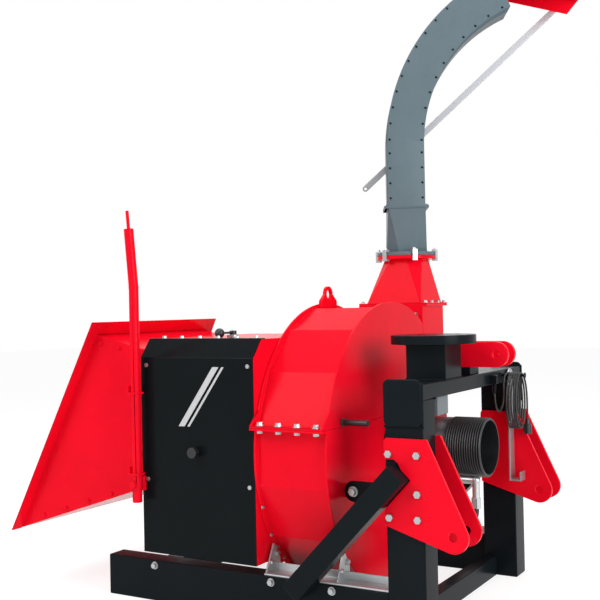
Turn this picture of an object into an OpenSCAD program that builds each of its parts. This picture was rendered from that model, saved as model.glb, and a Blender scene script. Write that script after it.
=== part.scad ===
// Tractor-mounted disc wood chipper on a three-point linkage frame.
// X runs forward to the tractor, Y to the far side, Z up from the floor.
// The origin lies on the floor, under the middle of the bottom cross tube.

/* [Frame] */
// Spread of the lower link points, centre to centre
hitch_span = 870; // [800:5:960]
// Width of a post across the machine
post_w = 100; // [90:1:120]
// Depth of a post along the machine
post_d = 130; // [125:1:150]
// Wall of the posts, skids, beams and braces
tube_wall = 6; // [4:0.5:8]
// Height of the frame, to the top of the top beam
frame_h = 804; // [790:1:840]
// Height of the flat top beam
beam_h = 50; // [40:1:60]
// Thickness of the rounded plates over the beam ends
joint_plate_t = 10; // [6:1:14]
// Gap between the rounded end plates and the lower brackets below them
joint_gap = 36; // [30:1:60]
// Rise of the rounded end plates above the top beam
joint_rise = 16; // [10:1:20]
// Corner radius of the rounded end plates
joint_r = 20; // [10:1:24]
// Depth of the bottom cross tube
foot_d = 50; // [40:1:60]
// Height of the bottom cross tube
foot_h = 75; // [60:1:90]
// Length of a skid behind its post
skid_l = 1146; // [1100:1:1250]
// Width of a skid
skid_w = 80; // [70:1:90]
// Height of a skid
skid_h = 147; // [130:1:160]
// Side of the square brace tube
brace_w = 70; // [55:1:80]
// Rise of the brace from the floor line
brace_angle = 47; // [44:1:52]
// Height of the middle of the brace's upper end
brace_top = 532; // [515:1:545]
// Side of the square rear cross tube
rear_w = 80; // [60:1:90]
// Height of the rear cross tube's underside
rear_z = 20; // [10:1:40]
// Distance of the rear cross tube from the skids' rear ends
rear_in = 90; // [60:1:140]
// Height of the stays between the posts and the disc housing
stay_z = 441; // [420:1:460]
// Width of a stay
stay_h = 70; // [60:1:80]
// Thickness of a stay
stay_t = 8; // [6:1:10]
// Diameter of the bolt hole in a stay
stay_hole_d = 17; // [13:1:20]

/* [Crane pedestal] */
// Side of the square pedestal tube
pedestal_w = 140; // [110:1:150]
// Height of the pedestal tube
pedestal_h = 116; // [90:1:150]
// Distance of the pedestal from the machine's middle
pedestal_off = 220; // [200:1:260]
// Diameter of the round mounting plate
crane_plate_d = 284; // [260:1:320]
// Thickness of the round mounting plate
crane_plate_t = 30; // [20:1:45]
// Bolt circle of the mounting plate
crane_pcd = 236; // [200:1:245]
// Diameter of the mounting plate's bolt holes
crane_hole_d = 22; // [16:0.5:24]

/* [Hitch] */
// Height of the lower link pins
lower_pin_h = 345; // [330:1:360]
// Reach of the lower link pins in front of the posts
lower_reach = 95; // [85:1:110]
// Bore for the lower link pins
lower_bore_d = 28.8; // [22:0.1:30]
// Radius of the lower bracket's nose
lower_nose_r = 50; // [45:1:58]
// Thickness of a lower bracket plate
lower_plate_t = 12; // [10:1:22]
// Height of the top edge of the lower brackets
lower_plate_top = 636; // [620:1:650]
// Rise of the top link pin above the top beam
upper_pin_rise = 71; // [60:1:80]
// Reach of the top link pin in front of the posts
upper_reach = 83; // [70:1:100]
// Bore for the top link pin
upper_bore_d = 25.8; // [20:0.1:28]
// Gap between the two top link plates
upper_gap = 56; // [52:1:70]
// Thickness of a top link plate
upper_plate_t = 15; // [10:1:20]
// Radius of the top link plate's nose
upper_nose_r = 44; // [38:1:48]
// Diameter of the bracket bolts
hitch_bolt_d = 16; // [12:1:18]

/* [Disc housing] */
// Clearance of the disc housing above the floor
floor_gap = 35; // [30:1:45]
// Room between the chipping disc and the edge of the housing's side plates
disc_gap = 50; // [45:1:60]
// Width of the side plates outside the wrap sheet's folds
plate_rim = 10; // [7:1:14]
// Number of flats right round the wrap sheet
wrap_folds = 16; // [14:2:22]
// Width of the housing along the drive axis
housing_w = 280; // [265:1:300]
// Distance of the housing's front plate behind the origin
housing_back = 220; // [215:1:230]
// Thickness of the housing's side plates
side_t = 8; // [5:0.5:10]
// Thickness of the wrap sheet
wrap_t = 5; // [3:0.5:7]
// Rise of the joint between lower housing and hood above the drive axis
split_rise = 100; // [98:1:110]
// Width of the split flange
flange_w = 45; // [36:1:50]
// Thickness of each split flange
flange_t = 8; // [6:1:10]
// Width of the outlet across the machine
outlet_w = 210; // [190:1:220]
// Drop of the outlet's top flange below the top of the side plates
outlet_drop = 10; // [5:1:25]
// Width of the outlet flange's front edge
outlet_lip = 18; // [14:1:24]
// Half width of the plate feet on the base angles
foot_reach = 409; // [400:1:412]
// Length of the peg handle on the hood
handle_l = 97; // [80:1:105]
// Diameter of the peg handle
handle_d = 20; // [16:1:24]
// Distance of the peg handle inside the wrap sheet's folds
handle_in = 103; // [90:1:130]

/* [Rotor] */
// Diameter of the main shaft
shaft_d = 60; // [50:1:64]
// Diameter of the splined stub
stub_d = 34.9; // [34.9:0.1:45]
// Length of the splined stub
stub_l = 150; // [140:1:200]
// Diameter of the chipping disc
disc_d = 930; // [900:1:940]
// Thickness of the chipping disc
disc_t = 30; // [24:1:36]
// Number of knives on the disc
knives = 4; // [2:1:4]
// Number of throwing paddles on the disc
paddles = 6; // [4:1:8]
// Outer diameter of the bearing cartridge
cartridge_d = 160; // [140:1:170]
// Length of the bearing cartridge
cartridge_l = 150; // [140:1:160]

/* [Drive guard] */
// Outer diameter over the guard's ribs
guard_d = 206; // [190:1:215]
// Length of the guard in front of the cartridge
guard_l = 215; // [205:1:235]
// Length of the smooth sleeve before the ribs
guard_sleeve = 86; // [50:1:100]
// Number of ribs on the guard
guard_ribs = 15; // [10:1:16]
// Height of a rib
guard_rib_h = 5; // [3:0.5:6]
// Wall of the guard
guard_wall = 4; // [3:0.5:6]

/* [Feed housing] */
// Length of the feed housing along the machine
feed_l = 485; // [470:1:520]
// Height of the feed housing's underside
feed_z0 = 181; // [160:1:190]
// Height of the feed housing's top
feed_z1 = 945; // [935:1:965]
// Distance of the near side cover from the drive axis
feed_near = 508; // [500:1:508]
// Distance of the far side wall from the drive axis
feed_far = 196; // [180:1:230]
// Thickness of the feed housing's sheets
feed_t = 5; // [3:0.5:6]
// Thickness of the near side cover
cover_t = 3; // [2:0.5:4]
// Height of the chamfer along the cover's top
cover_chamfer_h = 64; // [50:1:70]
// Depth of the chamfer along the cover's top
cover_chamfer_w = 53; // [40:1:60]
// Width of the feed channel
channel_w = 300; // [290:1:310]
// Distance of the channel's far side from the drive axis
channel_off = 80; // [75:1:90]
// Height of the channel's floor
channel_z = 400; // [395:1:410]
// Height of the opening into the disc housing
channel_h = 240; // [220:1:245]
// Rise of the cover's lower screws above the feed housing's underside
screw_rise = 264; // [240:1:290]
// Drop of the cover's upper screws below the feed housing's top
screw_drop = 91; // [80:1:100]
// Rise of the cover's knob above the feed housing's underside
knob_rise = 372; // [340:1:400]

/* [Feed rollers] */
// Diameter of the lower roller over its bars
lower_roller_d = 180; // [160:1:190]
// Diameter of the upper roller over its bars
upper_roller_d = 240; // [220:1:250]
// Height of the roller bars
roller_bar_h = 12; // [8:1:14]
// Bars on each roller
roller_bars = 8; // [6:1:12]
// Diameter of the roller shafts
roller_shaft_d = 40; // [30:1:44]
// Distance of the rollers from the disc housing
roller_back = 190; // [180:1:200]
// Rise of the lower roller above the channel floor
roller_rise = 10; // [5:1:15]
// Gap between the rollers at rest
roller_gap = 15; // [8:1:30]
// Height of the swing arm's pivot
arm_pivot_h = 800; // [790:1:820]
// Distance of the swing arm's pivot from the disc housing
arm_pivot_back = 60; // [52:1:70]
// Diameter of the swing arm's pivot shaft
arm_pin_d = 30; // [24:1:34]
// Thickness of a swing arm
arm_t = 12; // [8:1:14]

/* [Hopper] */
// Near edge of the hopper's throat from the drive axis
throat_near = 478; // [470:1:490]
// Far edge of the hopper's throat from the drive axis
throat_far = 155; // [145:1:170]
// Height of the throat's lower edge
throat_z0 = 409; // [385:1:412]
// Height of the throat's upper edge
throat_z1 = 907; // [890:1:915]
// Length of the hopper's top sheet
mouth_top_l = 214; // [190:1:260]
// Height of the hopper's top edge
mouth_top_h = 965; // [945:1:990]
// Length of the hopper's floor
mouth_floor_l = 576; // [520:1:620]
// Height of the floor's outer lip
mouth_floor_h = 220; // [190:1:250]
// Outward run of the side sheets for each unit of length
hopper_flare = 0.128; // [0.1:0.002:0.15]
// Thickness of the hopper's sheets
hopper_t = 4; // [3:0.5:5]
// Width of the flange round the hopper's mouth
rim_w = 46; // [36:1:56]
// Thickness of the flange round the hopper's mouth
rim_t = 6; // [4:0.5:8]

/* [Outlet and chute] */
// Bore of the swivel ring
swivel_bore_d = 156; // [150:1:165]
// Outer diameter of the swivel flanges
swivel_d = 238; // [225:1:250]
// Thickness of each swivel flange
swivel_t = 14; // [10:1:18]
// Height of the outlet transition
transition_h = 182; // [160:1:200]
// Turn of the chute from straight ahead
chute_turn = 28; // [0:1:40]
// Width of the chute in its bending plane
chute_w = 148; // [140:1:165]
// Depth of the chute across its bending plane
chute_depth = 180; // [160:1:190]
// Wall of the chute
chute_wall = 4; // [3:0.5:5]
// Height of the round-to-square chute foot
chute_foot_h = 180; // [160:1:200]
// Height of the straight run under the bend
chute_straight = 244; // [200:1:260]
// Outer radius of the chute's bend
bend_r = 745; // [700:1:800]
// Angle that the chute bends through
bend_angle = 66; // [60:1:68]
// Length of the deflector
deflector_l = 345; // [300:1:360]
// Height of the deflector's side plates
deflector_h = 40; // [34:1:60]
// Thickness of the deflector's sheet
deflector_t = 3; // [2:0.5:4]
// Slope of the deflector below level
deflector_slope = 14; // [8:1:18]
// Diameter of the deflector's hinge pin
deflector_pin_d = 10; // [8:0.5:14]
// Length of the adjusting bar
bar_l = 1104; // [1060:1:1150]
// Width of the adjusting bar
bar_w = 25; // [20:1:28]
// Thickness of the adjusting bar
bar_t = 6; // [4:0.5:8]

/* [Levers and small parts] */
// Diameter of the control lever's tube
lever_d = 35; // [26:1:38]
// Height of the control lever's pivot
lever_pivot_h = 430; // [415:1:450]
// Height of the bend in the control lever
lever_bend_h = 1134; // [1090:1:1160]
// Length of the leaning part of the control lever
lever_lean_l = 212; // [180:1:240]
// Diameter of the control lever's pivot pin
lever_pin_d = 16; // [12:1:18]
// Diameter of the knob on the side cover
cover_knob_d = 38; // [30:1:44]
// Diameter of the valve lever's ball
valve_ball_d = 35; // [28:1:38]
// Length of the shaft hanger bar
hanger_l = 390; // [360:1:400]
// Width of the shaft hanger bar
hanger_w = 50; // [40:1:60]
// Thickness of the shaft hanger bar
hanger_t = 6; // [4:0.5:8]
// Diameter of the oil pipe under the drive guard
pipe_d = 26; // [20:1:30]
// Drop of the oil pipe to its hose
pipe_drop = 95; // [80:1:110]
// Diameter of the oil hose
hose_d = 19; // [14:1:22]

/* [Cable] */
// Diameter of the cable
cable_d = 7; // [5:0.5:8]
// Loops in the hanging hank
hank_loops = 5; // [3:1:7]
// Width of the hank
hank_w = 120; // [100:5:140]
// Height of the hank
hank_h = 205; // [180:5:220]
// Step from one loop to the next
hank_pitch = 9; // [8.5:0.5:10]
// Diameter of the plug
plug_d = 30; // [24:1:34]
// Length of the plug
plug_l = 58; // [45:1:65]

/* [Hidden] */

// Clearances: running fits, bolts in their holes, and gaps between moving pieces
run_gap = 0.05;
bolt_gap = 0.5;
move_gap = 0.5;
eps = 1;
// Straight collar at each end of a lofted duct, and its depth in the flange that it is welded into
collar = 3;
seat = 2;
round_fn = 64;

// Frame
post_x0 = -foot_d / 2;
post_x1 = post_x0 + post_d;
post_out = hitch_span / 2 + post_w / 2;
post_in = hitch_span / 2 - post_w / 2;
stay_y = -post_in - 2 * stay_t;
post_top = frame_h - beam_h;
skid_x0 = post_x0 - skid_l;
brace_run = (brace_top - skid_h + 27) / sin(brace_angle);
brace_x = post_x0 + 61;
lower_x = post_x1 + lower_reach;
upper_x = post_x1 + upper_reach;
upper_pin_h = frame_h + upper_pin_rise;
bracket_h = lower_plate_top - lower_pin_h;
hitch_bolts_at = [
    [post_x0 + 18, lower_plate_top - 0.17 * bracket_h], [post_x1 - 16, lower_plate_top - 0.17 * bracket_h],
    [post_x1 - 16, lower_pin_h + 0.42 * bracket_h],
    [post_x0 + 18, lower_pin_h + 0.15 * bracket_h], [post_x1 - 16, lower_pin_h + 0.15 * bracket_h]];

// Disc housing, round the disc and clear of the floor
housing_r = disc_d / 2 + disc_gap;
wrap_r = housing_r - plate_rim;
axis_h = floor_gap + housing_r;
split_h = axis_h + split_rise;
outlet_h = axis_h + housing_r - outlet_drop;
house_x1 = -housing_back;
house_x0 = house_x1 - housing_w;
house_mid = (house_x0 + house_x1) / 2;
outlet_y1 = wrap_r * cos(180 / wrap_folds);
outlet_y0 = outlet_y1 - outlet_w;
outlet_mid = (outlet_y0 + outlet_y1) / 2;
hood_edge = outlet_y0 - 2;
hinge_pin_d = 14;
hinge_tube_d = 26;
hinge_y = outlet_y0 - hinge_tube_d / 2 - 1.5;
hinge_z = axis_h + sqrt(pow(wrap_r, 2) - pow(hinge_y, 2)) + 34;
bolt_end = 32;

// Rotor, from the feed side to the drive stub
knife_t = 12;
anvil_t = 22;
knife_x0 = house_x0 + side_t + anvil_t + 3;
disc_x0 = knife_x0 + knife_t;
disc_x1 = disc_x0 + disc_t;
cart_x1 = house_x1 + cartridge_l;
stub_x1 = cart_x1 + stub_l;
guard_x1 = cart_x1 + guard_l;

// Feed housing
feed_x1 = house_x0;
feed_x0 = feed_x1 - feed_l;
chan_y1 = -channel_off;
chan_y0 = chan_y1 - channel_w;
roller_x = feed_x1 - roller_back;
lower_roller_z = channel_z + roller_rise - lower_roller_d / 2;
upper_roller_z = channel_z + roller_rise + roller_gap + upper_roller_d / 2;
pivot_x = feed_x1 - arm_pivot_back;

// Hopper, its throat on the feed housing's rear plate
mouth_top_x = feed_x0 - mouth_top_l;
mouth_floor_x = feed_x0 - mouth_floor_l;

// Chute, in its own frame: x along the throw, y to its far side
chute_x = house_mid + 24;
chute_y = outlet_mid + 9.5;
ring_z0 = outlet_h + transition_h;
ring_z1 = ring_z0 + swivel_t;
turn_z0 = ring_z1 + move_gap;
turn_z1 = turn_z0 + swivel_t;
foot_z1 = turn_z1 + chute_foot_h;
bend_z = foot_z1 + chute_straight;
bend_x = bend_r - chute_w / 2;
// Inner diameter of the ducts' round ends, a little inside the swivel bore
duct_d = swivel_bore_d - 2;
hinge_tube = deflector_pin_d + 12;
defl_r = bend_r + hinge_tube / 2 - 1;
defl_x = bend_x - defl_r * cos(bend_angle - 1);
defl_z = bend_z + defl_r * sin(bend_angle - 1);
bar_pin = [defl_x + 307, defl_z - 89];
bar_angle = 42.2;
bar_y = chute_depth / 2 + 2 + deflector_t + move_gap;
guide_at = 0.78 * bar_l;

// Control lever
lever_y = -feed_near - 20 - lever_d / 2;
lever_x = feed_x0 + 5;

// Shapes laid out in one plane and given their thickness along the third axis
module along_x(x0, x1) {
    translate([x0, 0, 0]) rotate([90, 0, 90]) linear_extrude(x1 - x0) children();
}
module along_y(y0, y1) {
    translate([0, y1, 0]) rotate([90, 0, 0]) linear_extrude(y1 - y0) children();
}
module rod_x(x0, x1, d) {
    translate([x0, 0, 0]) rotate([0, 90, 0]) cylinder(h = x1 - x0, d = d, $fn = round_fn);
}
module rod_y(y0, y1, d) {
    translate([0, y0, 0]) rotate([-90, 0, 0]) cylinder(h = y1 - y0, d = d, $fn = round_fn);
}
module hex_y(y0, y1, d) {
    translate([0, y0, 0]) rotate([-90, 0, 0]) cylinder(h = y1 - y0, d = d, $fn = 6);
}
module box(x0, x1, y0, y1, z0, z1) {
    translate([x0, y0, z0]) cube([x1 - x0, y1 - y0, z1 - z0]);
}
module far_copy() {
    mirror([0, 1, 0]) children();
}

// Point where the line from p touches a circle, on the side given by turn (1 or -1)
function tangent_point(p, c, r, turn) =
    let (d = c - p, l = norm(d), a = atan2(d[1], d[0]) + turn * asin(r / l))
    p + sqrt(l * l - r * r) * [cos(a), sin(a)];

// Frame pieces
module skid_body() {
    color("#20231f") difference() {
        box(skid_x0, post_x0, -post_out, -post_out + skid_w, 0, skid_h);
        box(skid_x0 + tube_wall, post_x0 + eps, -post_out + tube_wall,
            -post_out + skid_w - tube_wall, tube_wall, skid_h - tube_wall);
    }
}
module skid_near() { skid_body(); }
module skid_far() { far_copy() skid_body(); }

// Post with a flat stay back to the disc housing
module post_body() {
    end_x = house_x1 + stay_h / 2 + 5;
    color("#20231f") difference() {
        box(post_x0, post_x1, -post_out, -post_in, 0, post_top);
        box(post_x0 + tube_wall, post_x1 - tube_wall, -post_out + tube_wall, -post_in - tube_wall,
            -eps, post_top + eps);
        for (p = hitch_bolts_at) translate([p[0], 0, p[1]])
            rod_y(-post_out - eps, -post_out + tube_wall + eps, hitch_bolt_d + 2 * bolt_gap);
    }
    color("#20231f") along_y(stay_y - stay_t, stay_y) difference() {
        union() {
            translate([end_x, stay_z - stay_h / 2]) square([post_x0 - end_x, stay_h]);
            translate([end_x, stay_z]) circle(d = stay_h, $fn = 48);
        }
        translate([end_x, stay_z]) circle(d = stay_hole_d, $fn = 32);
    }
}
module post_near() { post_body(); }
module post_far() { far_copy() post_body(); }

module top_beam() {
    color("#20231f") difference() {
        box(post_x0, post_x1, -post_out, post_out, post_top, frame_h);
        box(post_x0 + tube_wall, post_x1 - tube_wall, -post_out - eps, post_out + eps,
            post_top + tube_wall, frame_h - tube_wall);
    }
}

module bottom_tube() {
    color("#20231f") difference() {
        box(post_x0, post_x0 + foot_d, -post_in, post_in, 0, foot_h);
        box(post_x0 + tube_wall, post_x0 + foot_d - tube_wall, -post_in - eps, post_in + eps,
            tube_wall, foot_h - tube_wall);
    }
}

module rear_tube() {
    y1 = post_out - skid_w;
    x0 = skid_x0 + rear_in;
    color("#20231f") difference() {
        box(x0, x0 + rear_w, -y1, y1, rear_z, rear_z + rear_w);
        box(x0 + tube_wall, x0 + rear_w - tube_wall, -y1 - eps, y1 + eps,
            rear_z + tube_wall, rear_z + rear_w - tube_wall);
    }
}

// Outline of a brace in the X-Z plane, grown by a clearance
module brace_outline(grow) {
    translate([brace_x, brace_top]) rotate(brace_angle)
        translate([-brace_run - grow, -brace_w / 2 - grow]) square([brace_run + 2 * grow, brace_w + 2 * grow]);
}
module brace_body() {
    color("#20231f") difference() {
        along_y(-post_out - brace_w, -post_out) brace_outline(0);
        along_y(-post_out - brace_w + tube_wall, -post_out - tube_wall) brace_outline(-tube_wall);
    }
}
module brace_near() { brace_body(); }
module brace_far() { far_copy() brace_body(); }

// Rounded plates that close the beam ends and tie them to the posts
module joint_plates() {
    z0 = lower_plate_top + joint_gap;
    z1 = frame_h + joint_rise;
    r = joint_r;
    color("#20231f") for (side = [0, 1]) mirror([0, side, 0])
        along_y(-post_out - joint_plate_t, -post_out) {
            translate([post_x0 + r, z0]) square([post_d - 2 * r, z1 - z0]);
            translate([post_x0, z0 + r]) square([post_d, z1 - z0 - 2 * r]);
            for (x = [post_x0 + r, post_x1 - r], z = [z0 + r, z1 - r])
                translate([x, z]) circle(r, $fn = 32);
        }
}

module pedestal() {
    xc = post_x1 - pedestal_w / 2;
    color("#20231f") translate([xc, -pedestal_off, frame_h]) difference() {
        union() {
            translate([-pedestal_w / 2, -pedestal_w / 2, 0]) cube([pedestal_w, pedestal_w, pedestal_h]);
            translate([0, 0, pedestal_h]) cylinder(h = crane_plate_t, d = crane_plate_d, $fn = round_fn);
        }
        translate([tube_wall - pedestal_w / 2, tube_wall - pedestal_w / 2, -eps])
            cube([pedestal_w - 2 * tube_wall, pedestal_w - 2 * tube_wall, pedestal_h + eps]);
        for (a = [22.5 : 45 : 360]) rotate(a) translate([crane_pcd / 2, 0, pedestal_h - eps])
            cylinder(h = crane_plate_t + 2 * eps, d = crane_hole_d, $fn = 32);
    }
}

// Two plates on a foot on the top beam that take the tractor's top link
module top_link_bracket() {
    zt = upper_pin_h + upper_nose_r;
    zb = upper_pin_h - upper_nose_r;
    heel = post_x0 + 15;
    y0 = upper_gap / 2;
    color("#c8102e") for (side = [0, 1]) mirror([0, side, 0]) along_y(y0, y0 + upper_plate_t) difference() {
        union() {
            polygon([[heel, zb], [upper_x, zb], [upper_x, zt], [heel + 40, zt], [heel, zb + 40]]);
            translate([upper_x, upper_pin_h]) circle(upper_nose_r, $fn = round_fn);
        }
        translate([upper_x, upper_pin_h]) circle(d = upper_bore_d, $fn = round_fn);
    }
}

// One lower link plate, laid out in the X-Z plane
module lower_plate() {
    c = [lower_x, lower_pin_h];
    heel_low = [post_x0, lower_pin_h + 17];
    brow = [post_x1 + 15, lower_plate_top];
    r = 12;
    difference() {
        union() {
            polygon([heel_low, tangent_point(heel_low, c, lower_nose_r, -1), c,
                tangent_point(brow, c, lower_nose_r, 1), brow,
                [post_x0 + r, lower_plate_top], [post_x0, lower_plate_top - r]]);
            translate([post_x0 + r, lower_plate_top - r]) circle(r, $fn = 32);
            translate(c) circle(lower_nose_r, $fn = round_fn);
        }
        translate(c) circle(d = lower_bore_d, $fn = round_fn);
    }
}
// A pair of lower link plates either side of a post, the outer one notched round the brace
module lower_bracket() {
    corner = [brace_x, brace_top] + brace_w / 2 * [-sin(brace_angle), cos(brace_angle)];
    color("#c8102e") {
        along_y(-post_out - lower_plate_t, -post_out) difference() {
            lower_plate();
            brace_outline(2);
            polygon([[post_x0 - eps, corner[1] + 13], [corner[0], corner[1] + 13],
                [corner[0] + 12, corner[1] + 4], [brace_x, brace_top], [post_x0 - eps, corner[1] - 60]]);
            for (p = hitch_bolts_at) translate(p) circle(d = hitch_bolt_d + 2 * bolt_gap, $fn = 32);
        }
        along_y(-post_in, -post_in + lower_plate_t) lower_plate();
    }
}
module lower_bracket_near() { lower_bracket(); }
module lower_bracket_far() { far_copy() lower_bracket(); }

module hitch_bolts() {
    head = hitch_bolt_d * 0.65;
    y0 = -post_out - lower_plate_t;
    color("#b9bcc0") for (side = [0, 1], p = hitch_bolts_at) mirror([0, side, 0]) translate([p[0], 0, p[1]]) {
        hex_y(y0 - head, y0, hitch_bolt_d * 1.55);
        rod_y(y0 - eps, -post_out + tube_wall + 12, hitch_bolt_d);
    }
}

// Galvanised angle on a skid, with webs, that carries the disc housing's feet
module base_angle() {
    leg = 6;
    y1 = -foot_reach;
    y0 = y1 - 70;
    color("#aeb4b8") {
        box(house_x0 + 10, post_x0, y0, y1, skid_h, skid_h + leg);
        box(house_x0 + 10, post_x0, y1 - leg, y1, skid_h + leg, skid_h + 30);
        for (x = [house_x0 + side_t, house_x1]) along_x(x, x + leg)
            polygon([[y0 + 10, skid_h + leg], [y1 + 30, skid_h + leg], [y1 + 30, skid_h + 40],
                [y1 - leg, skid_h + 95], [y1 - 2 * leg, skid_h + 95]]);
    }
}
module base_angle_near() { base_angle(); }
module base_angle_far() { far_copy() base_angle(); }

// Disc housing outlines in the Y-Z plane
module wrap_outline(inset) {
    r = wrap_r - inset / cos(180 / wrap_folds);
    translate([0, axis_h]) polygon([for (k = [0 : wrap_folds - 1])
        r * [cos((k + 0.5) * 360 / wrap_folds), sin((k + 0.5) * 360 / wrap_folds)]]);
}
module outlet_outline(inset) {
    translate([outlet_y0 + inset, axis_h]) square([outlet_w - 2 * inset, outlet_h - axis_h]);
}
module below_split() {
    translate([-2 * housing_r, -housing_r]) square([4 * housing_r, split_h + housing_r]);
}
module hood_zone() {
    translate([-2 * housing_r, split_h + move_gap])
        square([2 * housing_r + hood_edge, 2 * housing_r]);
}
module side_plate_outline() {
    intersection() {
        translate([0, axis_h]) circle(housing_r, $fn = 128);
        below_split();
    }
    translate([outlet_y0, axis_h]) square([outlet_w, outlet_h - axis_h]);
}
module feed_cut() {
    translate([chan_y0, channel_z]) square([channel_w, channel_h]);
}
module housing() {
    flange_y = -sqrt(pow(wrap_r, 2) - pow(split_h - axis_h, 2));
    color("#c8102e") {
        along_x(house_x0, house_x0 + side_t) difference() {
            union() {
                side_plate_outline();
                translate([-foot_reach, skid_h + 13]) square([2 * foot_reach, 160]);
            }
            feed_cut();
        }
        along_x(house_x1 - side_t, house_x1) difference() {
            side_plate_outline();
            translate([0, axis_h]) circle(d = shaft_d + 30, $fn = round_fn);
        }
        along_x(house_x0 + side_t, house_x1 - side_t) difference() {
            union() {
                intersection() {
                    wrap_outline(0);
                    below_split();
                }
                outlet_outline(0);
            }
            wrap_outline(wrap_t);
            translate([0, outlet_h - axis_h + wrap_t]) outlet_outline(wrap_t);
            outlet_outline(wrap_t);
        }
        box(house_x0, house_x1, flange_y - flange_w, flange_y, split_h - flange_t, split_h);
        box(house_x1, house_x1 + outlet_lip, outlet_y0, outlet_y1, outlet_h - flange_t, outlet_h);
        for (side = [0, 1]) mirror([0, side, 0])
            box(house_x1, house_x1 + stay_h, stay_y, stay_y + stay_t, stay_z - stay_h / 3, stay_z + stay_h / 3);
    }
}

// Square-to-octagon duct on the outlet; a cutting duct runs over both ends
module duct(x_w, y_w, flats, over) {
    hull() {
        translate([house_mid + 15 - x_w / 2, outlet_mid - y_w / 2, outlet_h - over])
            cube([x_w, y_w, over + collar]);
        translate([chute_x, chute_y, ring_z0 - collar]) rotate(22.5)
            cylinder(h = collar + seat + over, d = flats / cos(22.5), $fn = 8);
    }
}
module transition() {
    x_w = housing_w - 45;
    wall = chute_wall;
    color("#c8102e") flange_ring(ring_z0, ring_z1);
    color("#c8102e") difference() {
        union() {
            duct(x_w, outlet_w, duct_d + 2 * wall, 0);
            box(house_x0, house_x1 + outlet_lip, outlet_y0, outlet_y1, outlet_h, outlet_h + 6);
        }
        duct(x_w - 2 * wall, outlet_w - 2 * wall, duct_d, eps);
    }
}

// Swivel: a fixed flange, a turning flange and the claws that hold them together
module flange_ring(z0, z1) {
    translate([chute_x, chute_y, z0]) difference() {
        cylinder(h = z1 - z0, d = swivel_d, $fn = round_fn);
        translate([0, 0, -eps]) cylinder(h = z1 - z0 + 2 * eps, d = swivel_bore_d, $fn = round_fn);
    }
}
module ring_clamps() {
    lip = 12;
    arm = 8;
    r = swivel_d / 2;
    color("#b9bcc0") translate([chute_x, chute_y, 0]) for (a = [10 : 60 : 360]) rotate(a)
        along_y(-10, 10) {
            translate([r + move_gap, ring_z0 - arm]) square([arm, 2 * swivel_t + 2 * arm + 2 * move_gap]);
            translate([r - lip, ring_z0 - arm]) square([lip + arm, arm]);
            translate([r - lip, turn_z1 + move_gap]) square([lip + arm, arm]);
        }
}

// Bearing cartridge on the front plate, and the drive guard on the cartridge
module bearing_cartridge() {
    color("#33363a") translate([0, 0, axis_h]) difference() {
        union() {
            rod_x(house_x1, house_x1 + 15, cartridge_d + 24);
            rod_x(house_x1, cart_x1, cartridge_d);
        }
        rod_x(house_x1 - eps, cart_x1 + eps, shaft_d + 2 * run_gap);
    }
}

module drive_guard() {
    r1 = guard_d / 2;
    r0 = r1 - guard_rib_h;
    step = (guard_l - guard_sleeve - 4) / guard_ribs;
    color("#1c1e1c") translate([cart_x1, 0, axis_h]) rotate([0, 90, 0]) difference() {
        union() {
            cylinder(h = guard_l, r = r0, $fn = round_fn);
            cylinder(h = guard_sleeve - 6, r = r0 + 2, $fn = round_fn);
            for (k = [0 : guard_ribs - 1]) translate([0, 0, guard_sleeve + k * step])
                cylinder(h = step * 0.5, r = r1, $fn = round_fn);
        }
        translate([0, 0, 6]) cylinder(h = guard_l, r = r0 - guard_wall, $fn = round_fn);
        translate([0, 0, -eps]) cylinder(h = 10, d = shaft_d + 20, $fn = round_fn);
    }
}

// Rotor
module rotor_shaft() {
    splines = 6;
    groove = stub_d * 0.13;
    color("#8f949a") translate([0, 0, axis_h]) {
        rod_x(disc_x0, cart_x1 + 2, shaft_d);
        difference() {
            rod_x(cart_x1 + 2, stub_x1, stub_d);
            for (k = [0 : splines - 1]) rotate([k * 360 / splines, 0, 0])
                box(stub_x1 - 90, stub_x1 + eps, -groove, groove, stub_d / 2 - 3, stub_d);
        }
    }
}
module rotor_disc() {
    color("#55595e") translate([0, 0, axis_h]) difference() {
        union() {
            rod_x(disc_x0, disc_x1, disc_d);
            rod_x(disc_x1, disc_x1 + 35, shaft_d + 80);
        }
        rod_x(disc_x0 - eps, disc_x1 + 35 + eps, shaft_d + 0.04);
    }
}
module rotor_knives() {
    color("#c3c7cb") translate([0, 0, axis_h]) for (k = [0 : knives - 1]) rotate([k * 360 / knives + 20, 0, 0])
        along_y(channel_off + 20, disc_d / 2 - 12)
            polygon([[knife_x0, -4], [disc_x0, -45], [disc_x0, 45], [disc_x0 - knife_t * 0.6, 45]]);
}
module rotor_paddles() {
    w = house_x1 - side_t - disc_x1 - 30;
    color("#55595e") translate([0, 0, axis_h]) for (k = [0 : paddles - 1]) rotate([k * 360 / paddles, 0, 0])
        box(disc_x1, disc_x1 + w, shaft_d + 140, disc_d / 2 - 10, -5, 5);
}
module anvil() {
    x0 = house_x0 + side_t;
    color("#8f949a") box(x0, x0 + anvil_t, chan_y0, chan_y1, channel_z - 22, channel_z);
}

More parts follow.
